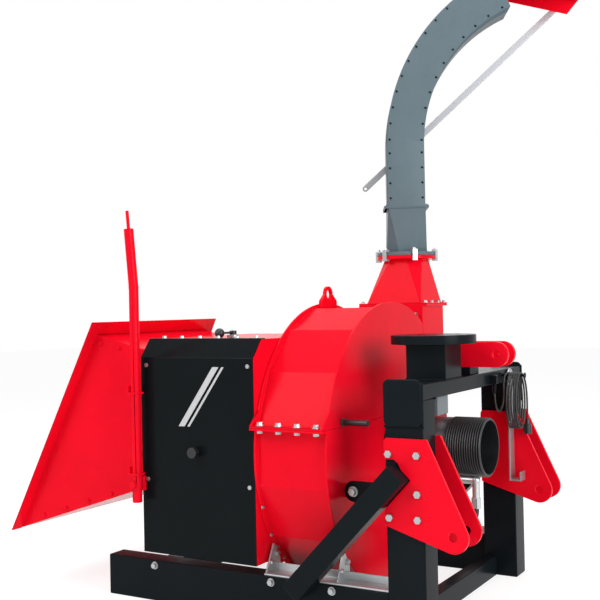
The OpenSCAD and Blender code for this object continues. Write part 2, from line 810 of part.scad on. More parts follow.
// Hood: side plates, wrap and flange above the split, hinged beside the outlet
module hood() {
    flange_y = -sqrt(pow(wrap_r, 2) - pow(split_h - axis_h, 2));
    x0 = house_x0 + move_gap;
    color("#c8102e") {
        for (x = [x0, house_x1 - side_t]) along_x(x, x == x0 ? house_x0 + side_t : house_x1) intersection() {
            translate([0, axis_h]) circle(housing_r, $fn = 128);
            hood_zone();
        }
        along_x(house_x0 + side_t, house_x1 - side_t) difference() {
            intersection() {
                wrap_outline(0);
                hood_zone();
            }
            wrap_outline(wrap_t);
        }
        box(x0, house_x1, flange_y - flange_w, flange_y, split_h + move_gap, split_h + flange_t);
        for (x = [x0, house_x1 - flange_t]) along_x(x, x + flange_t) difference() {
            polygon([[flange_y - flange_w, split_h + flange_t - eps], [flange_y + 40, split_h + flange_t - eps],
                [flange_y + 40, split_h + 90]]);
            wrap_outline(0);
        }
        for (x = [x0 + 40, house_x1 - 80]) along_x(x, x + 40) difference() {
            union() {
                translate([hinge_y, hinge_z]) circle(d = hinge_tube_d, $fn = round_fn);
                polygon([[hinge_y - 60, hinge_z - 36], [hinge_y - 1, hinge_z - 36],
                    [hinge_y + 4, hinge_z], [hinge_y - 6, hinge_z + 10]]);
            }
            wrap_outline(0);
            translate([hinge_y, hinge_z]) circle(d = hinge_pin_d + 2 * run_gap, $fn = round_fn);
        }
    }
}
// Hinge pin with its lugs on the outlet's near wall
module hood_hinge_pin() {
    x0 = house_x0 + 20;
    x1 = house_x1 - 20;
    color("#b9bcc0") {
        translate([0, hinge_y, hinge_z]) rod_x(x0, x1, hinge_pin_d);
        for (x = [x0, x1 - 12]) along_x(x, x + 12) difference() {
            union() {
                translate([hinge_y, hinge_z]) circle(d = hinge_tube_d - 2, $fn = round_fn);
                translate([hinge_y, hinge_z - 9]) square([outlet_y0 - hinge_y, 18]);
            }
            translate([hinge_y, hinge_z]) circle(d = hinge_pin_d, $fn = round_fn);
        }
    }
}
module hood_handle() {
    color("#1c1e1c") translate([0, handle_in - wrap_r, split_h + 16]) {
        rod_x(house_x1, house_x1 + handle_l, handle_d);
        rod_x(house_x1, house_x1 + 6, handle_d + 8);
    }
}
module lifting_eye() {
    z0 = axis_h + housing_r;
    x0 = house_x0 + side_t;
    color("#c8102e") along_x(x0, x0 + 12) difference() {
        union() {
            polygon([[-62, z0 - 32], [62, z0 - 32], [62, z0 + 8], [30, z0 + 34], [-30, z0 + 34], [-62, z0 + 8]]);
            translate([0, z0 + 34]) circle(30, $fn = 48);
        }
        wrap_outline(0);
        translate([0, z0 + 34]) circle(d = 34, $fn = 48);
    }
}
module split_bolts() {
    flange_y = -sqrt(pow(wrap_r, 2) - pow(split_h - axis_h, 2)) - flange_w * 0.6;
    color("#b9bcc0") for (k = [0 : 3]) translate([house_x0 + bolt_end + k * (housing_w - 2 * bolt_end) / 3, flange_y, 0])
        translate([0, 0, split_h - flange_t - 10]) cylinder(h = 10, d = 22, $fn = 6);
}

// Feed housing: floor, walls and end plates round the feed channel
module feed_housing() {
    shaft_bore = roller_shaft_d + 2 * run_gap;
    pin_bore = arm_pin_d + 2 * run_gap;
    near = -feed_near + cover_t;
    gap0 = roller_x - lower_roller_d / 2 - 6;
    gap1 = roller_x + lower_roller_d / 2 + 6;
    channel_top = 870;
    color("#b50f2a") {
        box(feed_x0 + feed_t, feed_x1 - feed_t, near, feed_far - feed_t, feed_z0, feed_z0 + feed_t);
        box(feed_x0 + feed_t, feed_x1 - feed_t, feed_far - feed_t, feed_far, feed_z0, feed_z1);
        box(feed_x0 + feed_t, feed_x1 - feed_t, near + cover_chamfer_w, feed_far - feed_t,
            feed_z1 - feed_t, feed_z1);
        for (x = [feed_x0, feed_x1 - feed_t]) along_x(x, x + feed_t) difference() {
            polygon([[near, feed_z0], [feed_far, feed_z0], [feed_far, feed_z1], [near + cover_chamfer_w, feed_z1],
                [near, feed_z1 - cover_chamfer_h]]);
            translate([chan_y0, channel_z])
                square([channel_w, x == feed_x0 ? throat_z1 - channel_z - 60 : channel_h]);
        }
        for (y = [chan_y0 - feed_t, chan_y1]) along_y(y, y + feed_t) difference() {
            translate([feed_x0 + feed_t, feed_z0 + feed_t])
                square([feed_l - 2 * feed_t, channel_top - feed_z0]);
            translate([roller_x, lower_roller_z]) circle(d = shaft_bore, $fn = round_fn);
            translate([pivot_x, arm_pivot_h]) circle(d = pin_bore, $fn = round_fn);
        }
        for (xs = [[feed_x0 + feed_t, gap0], [gap1, feed_x1 - feed_t]])
            box(xs[0], xs[1], chan_y0, chan_y1, channel_z - feed_t, channel_z);
    }
}

// Side cover: a sheet with a chamfered top edge
module side_cover() {
    y0 = -feed_near;
    y1 = y0 + cover_t;
    zc = feed_z1 - cover_chamfer_h;
    color("#1c1e1c") along_x(feed_x0, feed_x1 - move_gap) polygon([[y0, feed_z0], [y0, zc],
        [y0 + cover_chamfer_w, feed_z1 + cover_t], [y0 + cover_chamfer_w + 30, feed_z1 + cover_t],
        [y0 + cover_chamfer_w + 30, feed_z1], [y1 + cover_chamfer_w, feed_z1], [y1, zc], [y1, feed_z0]]);
}
module cover_screws() {
    color("#b9bcc0") for (x = [feed_x0 + 28, feed_x1 - 20], z = [feed_z0 + screw_rise, feed_z1 - screw_drop])
        translate([x, 0, z]) hex_y(-feed_near - 6, -feed_near, 16);
}
module cover_knob() {
    color("#1c1e1c") translate([feed_x0 + feed_l / 2 + 2, -feed_near, feed_z0 + knob_rise]) {
        rod_y(-14, -move_gap, cover_knob_d * 0.6);
        rod_y(-34, -14, cover_knob_d);
    }
}

// Feed rollers with straight gripping bars
module roller_body(d, y0, y1) {
    drum = d - 2 * roller_bar_h;
    rod_y(y0, y1, drum);
    for (k = [0 : roller_bars - 1]) rotate([0, k * 360 / roller_bars, 0])
        box(drum / 2 - 3, d / 2, y0 + 2, y1 - 2, -5, 5);
}
module lower_roller() {
    color("#4d5257") translate([roller_x, 0, lower_roller_z]) {
        roller_body(lower_roller_d, chan_y0 + 3, chan_y1 - 3);
        rod_y(chan_y0 - feed_t - 20, chan_y1 + feed_t + 60, roller_shaft_d);
    }
}
module roller_motor() {
    y0 = chan_y1 + feed_t;
    color("#33363a") translate([roller_x, 0, lower_roller_z]) difference() {
        union() {
            rod_y(y0, y0 + 20, roller_shaft_d + 70);
            rod_y(y0 + 20, y0 + 150, roller_shaft_d + 50);
        }
        rod_y(y0 - eps, y0 + 61, roller_shaft_d + 2 * run_gap);
    }
}
module feed_arm() {
    near = chan_y0 + 2;
    far = chan_y1 - 2;
    color("#4d5257") {
        for (y = [near, far - arm_t]) along_y(y, y + arm_t) difference() {
            union() {
                translate([pivot_x, arm_pivot_h]) circle(d = arm_pin_d + 36, $fn = round_fn);
                translate([roller_x, upper_roller_z]) circle(d = roller_shaft_d + 36, $fn = round_fn);
                arm_web();
            }
            translate([roller_x, upper_roller_z]) circle(d = roller_shaft_d + 2 * run_gap, $fn = round_fn);
            translate([pivot_x, arm_pivot_h]) circle(d = arm_pin_d, $fn = round_fn);
        }
        translate([pivot_x, 0, arm_pivot_h]) rod_y(chan_y0 - feed_t - 15, chan_y1 + feed_t + 15, arm_pin_d);
    }
}
module arm_web() {
    p = [pivot_x, arm_pivot_h];
    q = [roller_x, upper_roller_z];
    a = atan2(p[1] - q[1], p[0] - q[0]);
    translate(q) rotate(a) translate([0, -22]) square([norm(p - q), 44]);
}
module upper_roller() {
    color("#4d5257") translate([roller_x, 0, upper_roller_z]) {
        roller_body(upper_roller_d, chan_y0 + arm_t + 5, chan_y1 - arm_t - 5);
        rod_y(chan_y0 + 2, chan_y1 - 2, roller_shaft_d);
    }
}

// Hopper corners at a share u of the way from throat to mouth, grown outward:
// near low, near top, far top, far low
function hopper_ring(u, grow) =
    let (xl = feed_x0 - u * mouth_floor_l, xt = feed_x0 - u * mouth_top_l)
    let (yl = u * mouth_floor_l * hopper_flare + grow, yt = u * mouth_top_l * hopper_flare + grow)
    let (zl = throat_z0 + u * (mouth_floor_h - throat_z0) - grow)
    let (zt = throat_z1 + u * (mouth_top_h - throat_z1) + grow)
    [[xl, -throat_near - yl, zl], [xt, -throat_near - yt, zt],
     [xt, throat_far + yt, zt], [xl, throat_far + yl, zl]];

// Sheet between two outer and two inner edges, split into triangles
module sheet_block(a, b) {
    polyhedron(concat(a, b), [
        [0, 2, 1], [0, 3, 2], [4, 5, 6], [4, 6, 7], [0, 1, 5], [0, 5, 4],
        [1, 2, 6], [1, 6, 5], [2, 3, 7], [2, 7, 6], [3, 0, 4], [3, 4, 7]]);
}
module hopper_panel(i, u0, u1, grow0, grow1) {
    j = (i + 1) % 4;
    in0 = hopper_ring(u0, grow0);
    in1 = hopper_ring(u1, grow0);
    out0 = hopper_ring(u0, grow1);
    out1 = hopper_ring(u1, grow1);
    sheet_block([in0[i], in1[i], in1[j], in0[j]], [out0[i], out1[i], out1[j], out0[j]]);
}
module hopper_near() { color("#c8102e") hopper_panel(0, 0, 1, -hopper_t, 0); }
module hopper_top() { color("#c8102e") hopper_panel(1, 0, 1, -hopper_t, 0); }
module hopper_far() { color("#c8102e") hopper_panel(2, 0, 1, -hopper_t, 0); }
module hopper_floor() { color("#a50e26") hopper_panel(3, 0, 1, -hopper_t, 0); }
// Corners of the flange, in the plane of the mouth and level with the floor's lip at the bottom
function rim_ring(grow) =
    let (edge = hopper_ring(1, 0))
    let (up = (edge[1] - edge[0]) * grow / (edge[1][2] - edge[0][2]))
    let (rise = [up[0], 0, grow], side = [0, grow, 0])
    [edge[0] - side, edge[1] - side + rise, edge[2] + side + rise, edge[3] + side];
module hopper_rim() {
    back = [rim_t, 0, 0];
    in = rim_ring(0);
    out = rim_ring(rim_w);
    color("#d4132f") for (i = [0 : 2])
        sheet_block([in[i] + back, in[i], in[i + 1], in[i + 1] + back],
            [out[i] + back, out[i], out[i + 1], out[i + 1] + back]);
}

// Control lever on its pivot beside the hopper
module lever_bracket() {
    face = lever_y + lever_d / 2 + move_gap;
    color("#c8102e") {
        box(feed_x0, lever_x + 12, face, -feed_near, lever_pivot_h - 26, lever_pivot_h + 26);
        translate([lever_x, 0, lever_pivot_h]) {
            rod_y(lever_y - lever_d / 2 - 6, face, lever_pin_d);
            rod_y(lever_y - lever_d / 2 - 12, lever_y - lever_d / 2 - move_gap, lever_pin_d + 10);
        }
    }
}
module control_lever() {
    low = lever_pivot_h - 65;
    lean = 5;
    color("#c8102e") translate([lever_x, lever_y, 0]) difference() {
        union() {
            translate([0, 0, low]) cylinder(h = lever_bend_h - low, d = lever_d, $fn = 48);
            translate([0, 0, lever_bend_h]) {
                sphere(d = lever_d + 2, $fn = 48);
                rotate([0, -lean, 0]) {
                    cylinder(h = lever_lean_l, d = lever_d, $fn = 48);
                    cylinder(h = lever_lean_l + 66, d = 12, $fn = 32);
                }
            }
        }
        translate([0, 0, lever_pivot_h]) rod_y(-lever_d, lever_d, lever_pin_d + 2 * run_gap);
    }
}

// Speed valve on top of the feed housing
module valve() {
    color("#33363a") translate([feed_x1 - 200, -330, feed_z1]) {
        cylinder(h = 12, d = 44, $fn = 48);
        cylinder(h = 16, d = 12, $fn = 48);
    }
}
module valve_lever() {
    z = 12 + move_gap;
    color("#1c1e1c") translate([feed_x1 - 200, -330, feed_z1]) {
        difference() {
            union() {
                translate([0, 0, z]) cylinder(h = 14, d = 26, $fn = 48);
                translate([0, 0, z + 7]) rod_y(-76, -5, 8);
                translate([0, -84, z + 7]) sphere(d = valve_ball_d, $fn = 48);
            }
            translate([0, 0, z - eps]) cylinder(h = 16 + 2 * eps, d = 12 + 2 * run_gap, $fn = 48);
        }
    }
}

// Control box under the top beam, and the oil line below the drive guard
module control_box() {
    color("#6c7378") box(post_x1 - 85, post_x1 - 15, -post_in + 60, -post_in + 150, post_top - 64, post_top);
}
module hydraulic_line() {
    z = axis_h - 110;
    x1 = post_x1 + 5;
    d = pipe_d;
    drop = pipe_drop;
    color("#aeb4b8") {
        translate([0, -50, z]) {
            rod_x(house_x1, x1, d);
            translate([x1, 0, 0]) sphere(d = d * 1.2, $fn = 48);
            translate([x1, 0, -drop]) cylinder(h = drop, d = d, $fn = 48);
            translate([x1, 0, -drop]) cylinder(h = 36, d = d + 10, $fn = 6);
        }
    }
    color("#1c1e1c") translate([x1, -50, z - drop]) {
        rotate([90, 0, 0]) translate([-110, 0, 0]) rotate_extrude(angle = -90, $fn = round_fn)
            translate([110, 0]) circle(d = hose_d, $fn = 32);
        translate([-110, 0, -110]) rotate([0, -90, 0])
            cylinder(h = x1 - 110 - house_x1, d = hose_d, $fn = 32);
    }
}

// Chute, drawn in its own frame
module chute_frame() {
    translate([chute_x, chute_y, 0]) rotate([0, 0, chute_turn]) children();
}
module foot_duct(inset, over) {
    flats = duct_d + 2 * chute_wall - 2 * inset;
    hull() {
        translate([0, 0, turn_z1 - seat - over]) rotate(22.5)
            cylinder(h = over + seat + collar, d = flats / cos(22.5), $fn = 8);
        translate([inset - chute_w / 2, inset - chute_depth / 2, foot_z1 - collar])
            cube([chute_w - 2 * inset, chute_depth - 2 * inset, over + collar]);
    }
}
module chute_foot() {
    lip = 14;
    color("#39434b") {
        flange_ring(turn_z0, turn_z1);
        chute_frame() difference() {
            union() {
                foot_duct(0, 0);
                translate([-chute_w / 2 - lip, -chute_depth / 2, foot_z1 - 6])
                    cube([chute_w + 2 * lip, chute_depth, 6]);
            }
            foot_duct(chute_wall, eps);
        }
    }
}
// Elbow outline: a straight run, then a bend about a level axis
module elbow_outline(inset) {
    translate([inset - chute_w / 2, foot_z1 - (inset > 0 ? eps : 0)])
        square([chute_w - 2 * inset, chute_straight + (inset > 0 ? eps : 0)]);
    translate([bend_x, bend_z]) intersection() {
        difference() {
            circle(bend_r - inset, $fn = 128);
            circle(bend_r - chute_w + inset, $fn = 128);
        }
        far = 2 * bend_r;
        swing = bend_angle + (inset > 0 ? 2 : 0);
        polygon([[0, 0], [-far, 0], far * [-1, tan(swing / 2)], far * [-cos(swing), sin(swing)]]);
    }
}
module chute_elbow() {
    lip = 14;
    half = chute_depth / 2;
    color("#39434b") chute_frame() {
        difference() {
            union() {
                along_y(-half, half) elbow_outline(0);
                translate([-chute_w / 2 - lip, -half, foot_z1]) cube([chute_w + 2 * lip, 2 * half, 6]);
                translate([defl_x, 0, defl_z]) rod_y(-half, half, hinge_tube);
            }
            along_y(-half + chute_wall, half - chute_wall) elbow_outline(chute_wall);
            translate([0, 0, foot_z1 - eps]) linear_extrude(eps + 6)
                square([chute_w - 2 * chute_wall, chute_depth - 2 * chute_wall], center = true);
        }
        pin_end = half + 2 + deflector_t + 6;
        translate([defl_x, 0, defl_z]) rod_y(-pin_end, pin_end, deflector_pin_d);
        bar_guide();
    }
}
// Loop on the chute's far side that the adjusting bar slides through
module bar_guide() {
    slot = bar_w + 34;
    y0 = chute_depth / 2 - chute_wall / 2;
    y1 = bar_y + bar_t + 3;
    translate([bar_pin[0], 0, bar_pin[1]]) rotate([0, -bar_angle, 0]) {
        for (z = [-slot / 2 - 8, slot / 2]) box(-guide_at - 14, -guide_at + 14, y0, y1, z, z + 8);
        box(-guide_at - 14, -guide_at + 14, y1, y1 + 4, -slot / 2 - 8, slot / 2 + 8);
    }
}

// Deflector hood hinged on the elbow's outer lip
module deflector() {
    half = chute_depth / 2 + 2;
    lead = 20;
    hole = deflector_pin_d + 2 * run_gap;
    color("#c8102e") chute_frame() translate([defl_x, 0, defl_z]) {
        difference() {
            for (y = [-half - deflector_t, half]) along_y(y, y + deflector_t) rotate(-deflector_slope)
                polygon([[-16, 14], [lead, 22], [deflector_l + 45, 22], [deflector_l + 15, -deflector_h],
                    [lead + 70, -deflector_h], [-16, -12]]);
            rod_y(-half - deflector_t - eps, half + deflector_t + eps, hole);
        }
        along_y(-half, half) rotate(-deflector_slope) translate([lead, 22 - deflector_t])
            square([deflector_l + 25, deflector_t]);
        translate([bar_pin[0] - defl_x, 0, bar_pin[1] - defl_z])
            rod_y(half + deflector_t, bar_y + bar_t + 5, 12);
    }
}
// Flat bar that sets the deflector's angle
module adjusting_bar() {
    r = bar_w / 2;
    color("#9aa0a4") chute_frame() translate([bar_pin[0], 0, bar_pin[1]]) rotate([0, -bar_angle, 0])
        along_y(bar_y, bar_y + bar_t) difference() {
            union() {
                translate([-bar_l, -r]) square([bar_l, bar_w]);
                circle(r, $fn = 32);
                translate([-bar_l, 0]) circle(r, $fn = 32);
            }
            circle(d = 12 + 2 * run_gap, $fn = 32);
            translate([-bar_l, 0]) circle(d = 11, $fn = 32);
        }
}

// Bar that hangs from the top beam to hold the drive shaft when it is off the tractor
hanger_y = post_in - 55;
hanger_z = frame_h - beam_h / 2;
hanger_x = post_x1 + 4;
hanger_pin_d = 12;
module shaft_hanger() {
    r = hanger_w / 2;
    shelf = 46;
    z = hanger_z - hanger_l;
    color("#aeb4b8") {
        along_x(hanger_x, hanger_x + hanger_t) translate([hanger_y, hanger_z]) difference() {
            union() {
                circle(r, $fn = 32);
                translate([-r, -hanger_l]) square([hanger_w, hanger_l]);
            }
            circle(d = hanger_pin_d + 2 * run_gap, $fn = 32);
        }
        box(hanger_x, hanger_x + shelf, hanger_y - r, hanger_y + r, z - hanger_t, z);
        box(hanger_x + shelf - hanger_t, hanger_x + shelf, hanger_y - r, hanger_y + r, z, z + 28);
    }
}

// Cable: a lead from the beam, a hanging hank of loops and a tail to the plug
hank_x = post_x1 + 18;
hank_y = hanger_y - 40;
hank_top = frame_h - 14;
hank_z = hank_top - hank_h / 2;
gland_y = hank_y - 150;
gland_z = frame_h - 57;
gland_l = 12;
// Length of the tapered strain reliefs at the gland and on the plug
relief_l = 22;
loop_steps = 24;
last_step = (hank_loops + 0.25) * loop_steps;
function loop_point(k) =
    let (a = 360 * k / loop_steps)
    [hank_x + hank_pitch * k / loop_steps, hank_y + hank_w / 2 * sin(a), hank_z + hank_h / 2 * cos(a)];
// Both ends of the hank run straight for a little over one cable diameter
straight_in = [0, -1.5 * cable_d, 0];
tail_drop = [0, 0, -72];
hank_points = concat([loop_point(0) + straight_in], [for (k = [0 : last_step]) loop_point(k)],
    [loop_point(last_step) + tail_drop / 2, loop_point(last_step) + tail_drop]);
hank_start = hank_points[0];
tail_end = hank_points[len(hank_points) - 1];
// The lead's points from the gland, chosen by hand: down in a slack bow and up to the hank
lead_run = [
    [0, 0, 0], [0, 0, -20], [0, 1, -40], [0, 6, -58], [0, 16, -74], [0, 30, -86], [0, 48, -92],
    [0, 66, -88], [0, 82, -76], [0, 93, -60], [0, 98, -42], [0, 100, -22], [0, 100, -4],
    [1, 101, 12], [2, 105, 27], [4, 113, 38], [6, 126, 43]];
lead_points = concat([for (p = lead_run) [post_x1 + gland_l, gland_y, gland_z] + p], [hank_start]);

// Peg under the hank, pivot of the shaft hanger, the cable's gland and the top link's foot, all on the top beam
module beam_fittings() {
    peg_z = hank_top - cable_d / 2 - 5 - 0.3;
    peg_end = hank_x + hank_pitch * (hank_loops + 1) + 8;
    foot_y = upper_gap / 2 + upper_plate_t;
    color("#1c1e1c") {
        translate([0, hank_y, peg_z]) {
            rod_x(post_x1, peg_end, 10);
            rod_x(peg_end - 4, peg_end, 22);
        }
        translate([0, hanger_y, hanger_z]) {
            rod_x(post_x1, hanger_x + hanger_t + 4, hanger_pin_d);
            rod_x(post_x1, hanger_x - move_gap, hanger_pin_d + 10);
        }
        box(post_x0 + 15, post_x1 - 10, -foot_y, foot_y, frame_h, upper_pin_h - upper_nose_r);
        box(post_x1, post_x1 + 2 * gland_l, gland_y - gland_l, gland_y + gland_l,
            gland_z + gland_l, gland_z + 45);
        translate([post_x1 + gland_l, gland_y, gland_z]) {
            cylinder(h = gland_l, d = cable_d + 7, $fn = 32);
            translate([0, 0, -relief_l]) difference() {
                cylinder(h = relief_l, d1 = cable_d + 3, d2 = cable_d + 7, $fn = 32);
                translate([0, 0, -eps]) cylinder(h = relief_l + eps, d = cable_d + 0.6, $fn = 32);
            }
        }
    }
}

// Tube swept along points, with a ring square to the path at each one
function unit(v) = v / norm(v);
function path_dir(p, i) = unit(p[min(i + 1, len(p) - 1)] - p[max(i - 1, 0)]);
function ring_at(p, i, r, n) =
    let (t = path_dir(p, i), s = unit(cross(t, abs(t[0]) > 0.9 ? [0, 0, 1] : [1, 0, 0])), u = cross(t, s))
    [for (k = [0 : n - 1]) p[i] + r * (cos(360 * k / n) * s + sin(360 * k / n) * u)];
module swept_tube(p, r, n) {
    m = len(p);
    rings = [for (i = [0 : m - 1]) each ring_at(p, i, r, n)];
    sides = [for (i = [0 : m - 2], k = [0 : n - 1]) let (a = i * n + k, b = i * n + (k + 1) % n)
        each [[a, a + n, b], [b, a + n, b + n]]];
    caps = [for (k = [1 : n - 2]) each [[0, k, k + 1], [(m - 1) * n, (m - 1) * n + k + 1, (m - 1) * n + k]]];
    polyhedron(rings, concat(sides, caps));
}
function self_gap(p, skip) = min([for (i = [0 : len(p) - 1], j = [i + skip : 1 : len(p) - 1])
    norm(p[i] - p[j])]) - cable_d;
echo(hank_least_gap_mm = self_gap(hank_points, loop_steps / 2));
module cable_lead() { color("#1c1e1c") swept_tube(lead_points, cable_d / 2, 8); }
module cable_hank() { color("#1c1e1c") swept_tube(hank_points, cable_d / 2, 6); }
module cable_plug() {
    body = plug_l - relief_l;
    color("#1c1e1c") translate(tail_end - [0, 0, plug_l]) {
        cylinder(h = body, d = plug_d, $fn = 48);
        translate([0, 0, body]) cylinder(h = relief_l, d1 = plug_d * 0.7, d2 = cable_d + 4, $fn = 48);
    }
}

skid_near();
skid_far();
post_near();
post_far();
top_beam();
bottom_tube();
rear_tube();
brace_near();
brace_far();
joint_plates();
pedestal();
top_link_bracket();
lower_bracket_near();
lower_bracket_far();
hitch_bolts();
base_angle_near();
base_angle_far();
housing();
transition();
ring_clamps();
bearing_cartridge();
drive_guard();
rotor_shaft();
rotor_disc();
rotor_knives();
rotor_paddles();
anvil();
hood();
hood_handle();
lifting_eye();
split_bolts();
hood_hinge_pin();
feed_housing();
side_cover();
cover_screws();
cover_knob();
lower_roller();
roller_motor();
feed_arm();
upper_roller();
hopper_near();
hopper_far();
hopper_floor();
hopper_top();
hopper_rim();
lever_bracket();
control_lever();
valve();
valve_lever();
control_box();
hydraulic_line();
chute_foot();
chute_elbow();
deflector();
adjusting_bar();
beam_fittings();
shaft_hanger();
cable_lead();
cable_hank();
cable_plug();
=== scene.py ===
import math

import bpy
from mathutils import Matrix, Vector


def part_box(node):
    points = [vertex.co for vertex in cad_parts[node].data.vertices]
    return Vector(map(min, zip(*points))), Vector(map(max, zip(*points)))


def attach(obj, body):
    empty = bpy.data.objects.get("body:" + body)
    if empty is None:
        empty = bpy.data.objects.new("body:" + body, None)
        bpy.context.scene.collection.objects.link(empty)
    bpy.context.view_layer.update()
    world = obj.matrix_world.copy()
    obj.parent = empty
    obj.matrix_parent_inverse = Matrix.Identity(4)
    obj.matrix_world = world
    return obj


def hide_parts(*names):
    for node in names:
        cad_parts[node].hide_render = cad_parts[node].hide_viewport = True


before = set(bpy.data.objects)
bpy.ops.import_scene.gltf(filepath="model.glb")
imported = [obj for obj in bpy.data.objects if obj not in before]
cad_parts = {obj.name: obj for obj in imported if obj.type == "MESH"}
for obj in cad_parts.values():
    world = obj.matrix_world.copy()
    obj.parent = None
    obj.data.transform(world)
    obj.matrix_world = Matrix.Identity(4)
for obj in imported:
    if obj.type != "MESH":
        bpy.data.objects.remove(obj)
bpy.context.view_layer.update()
scene = bpy.context.scene


# The viewpoint of the photograph: off the near front corner, at about chest height,
# with a lens of about 59 mm on a 36 mm sensor and a slight tilt to the side.
view_place = Vector((1.3228, -3.2819, 1.0442))
view_yaw = math.radians(30.488)
view_pitch = math.radians(0.534)
view_roll = math.radians(-1.16)
across = Vector((math.cos(view_yaw), math.sin(view_yaw), 0))
ahead = Vector((-math.sin(view_yaw), math.cos(view_yaw), 0)) * math.cos(view_pitch)
ahead.z = math.sin(view_pitch)
above = across.cross(ahead)
to_right = across * math.cos(view_roll) + above * math.sin(view_roll)
to_top = above * math.cos(view_roll) - across * math.sin(view_roll)
camera = bpy.data.objects.new("camera", bpy.data.cameras.new("camera"))
camera.data.lens = 58.98
camera.data.sensor_width = 36
camera.matrix_world = Matrix((to_right, to_top, -ahead)).transposed().to_4x4()
camera.matrix_world.translation = view_place
scene.collection.objects.link(camera)
scene.camera = camera
scene.view_settings.view_transform = "Standard"


# The studio: a wide white floor and backdrop and three soft boxes.
# Gloss paint and metal mirror the same white that the camera sees behind the object.
class Value:
    """A shader socket that takes arithmetic and adds its Math nodes."""

    def __init__(self, finish, socket):
        self.finish = finish
        self.socket = socket

    def _maths(self, operation, first, second):
        node = self.finish.add("ShaderNodeMath", {"operation": operation}, {0: first, 1: second})
        return Value(self.finish, node.outputs[0])

    def __add__(self, other):
        return self._maths("ADD", self, other)

    __radd__ = __add__

    def __mul__(self, other):
        return self._maths("MULTIPLY", self, other)

    __rmul__ = __mul__

    def __sub__(self, other):
        return self._maths("SUBTRACT", self, other)

    def __rsub__(self, other):
        return self._maths("SUBTRACT", other, self)

    def above(self, level):
        return self._maths("GREATER_THAN", self, level)

    def at_most(self, level):
        return self._maths("MINIMUM", self, level)


class Finish:
    """A node tree under construction, for one material or for the world."""

    def __init__(self, owner):
        owner.use_nodes = True
        self.owner = owner
        self.tree = owner.node_tree
        self.shader = self.tree.nodes.get("Principled BSDF")

    def add(self, kind, settings=None, sockets=None):
        node = self.tree.nodes.new(kind)
        for name, value in (settings or {}).items():
            setattr(node, name, value)
        for key, value in (sockets or {}).items():
            self.set(node.inputs[key], value)
        return node

    def set(self, socket, value):
        if isinstance(value, Value):
            self.tree.links.new(value.socket, socket)
        elif isinstance(value, bpy.types.NodeSocket):
            self.tree.links.new(value, socket)
        else:
            socket.default_value = value

    def value(self, node, output=0):
        return Value(self, node.outputs[output])

    def seen_share(self):
        """1 where the camera looks, straight or by way of gloss or glass, and 0 for other rays."""
        rays = self.add("ShaderNodeLightPath")
        seen = self.value(rays, "Is Camera Ray") + self.value(rays, "Is Glossy Ray")
        return (seen + self.value(rays, "Is Transmission Ray")).at_most(1.0)


white = (1, 1, 1, 1)
world = Finish(bpy.data.worlds.new("studio"))
scene.world = world.owner
ambient = 0.46
strength = world.seen_share() * (1 - ambient) + ambient
world.set(world.tree.nodes["Background"].inputs["Color"], white)
world.set(world.tree.nodes["Background"].inputs["Strength"], strength)

floor_half = 20
glow_share, glow_strength = 0.62, 1.24
floor_mesh = bpy.data.meshes.new("floor")
floor_corners = [(x, y, 0) for x, y in ((-1, -1), (1, -1), (1, 1), (-1, 1))]
floor_mesh.from_pydata([Vector(c) * floor_half for c in floor_corners], [], [(0, 1, 2, 3)])
floor = bpy.data.objects.new("floor", floor_mesh)
scene.collection.objects.link(floor)
pale = Finish(bpy.data.materials.new("pale_floor"))
pale.shader.inputs["Base Color"].default_value = (0.93, 0.93, 0.93, 1)
pale.shader.inputs["Roughness"].default_value = 0.6
glow = pale.add("ShaderNodeEmission", sockets={"Color": white, "Strength": glow_strength})
pale_mix = pale.add("ShaderNodeMixShader", sockets={
    0: pale.seen_share() * glow_share, 1: pale.shader.outputs[0], 2: glow.outputs[0]})
pale.set(pale.tree.nodes["Material Output"].inputs["Surface"], pale_mix.outputs[0])
floor_mesh.materials.append(pale.owner)

machine_mid = Vector((-0.3, 0, 0.9))
soft_boxes = {  # place, width and power
    "key_light": ((-2.6, -4.2, 4.2), 3.2, 165),
    "front_light": ((4.2, -1.6, 2.0), 2.6, 165),
    "top_light": ((-0.6, 0.4, 5.2), 3.4, 120),
}
for name, (place, width, power) in soft_boxes.items():
    lamp = bpy.data.objects.new(name, bpy.data.lights.new(name, "AREA"))
    lamp.data.energy = power
    lamp.data.size = width
    lamp.location = place
    aim = machine_mid - lamp.location
    lamp.rotation_euler = aim.to_track_quat("-Z", "Y").to_euler()
    scene.collection.objects.link(lamp)


# The portal frame: two posts, a flat top beam, skids and braces of box tube, welded together
# and sprayed satin black. The crane's pedestal stands on the beam under its round plate.
def noise(finish, scale, detail):
    place = finish.add("ShaderNodeTexCoord").outputs["Object"]
    return finish.value(finish.add("ShaderNodeTexNoise", sockets={
        "Vector": place, "Scale": scale, "Detail": detail}))


def tint(finish, factor, first, second):
    mix = finish.add("ShaderNodeMix", {"data_type": "RGBA"}, {
        "Factor": factor, 6: (*first, 1), 7: (*second, 1)})
    finish.set(finish.shader.inputs["Base Color"], mix.outputs[2])


def shade(colour, share):
    return [share * c for c in colour]


def roughen(finish, mask, least, spread):
    finish.set(finish.shader.inputs["Roughness"], mask * spread + least)


def relief(finish, height, strength, depth):
    bump = finish.add("ShaderNodeBump", sockets={
        "Strength": strength, "Distance": depth, "Height": height})
    finish.set(finish.shader.inputs["Normal"], bump.outputs[0])


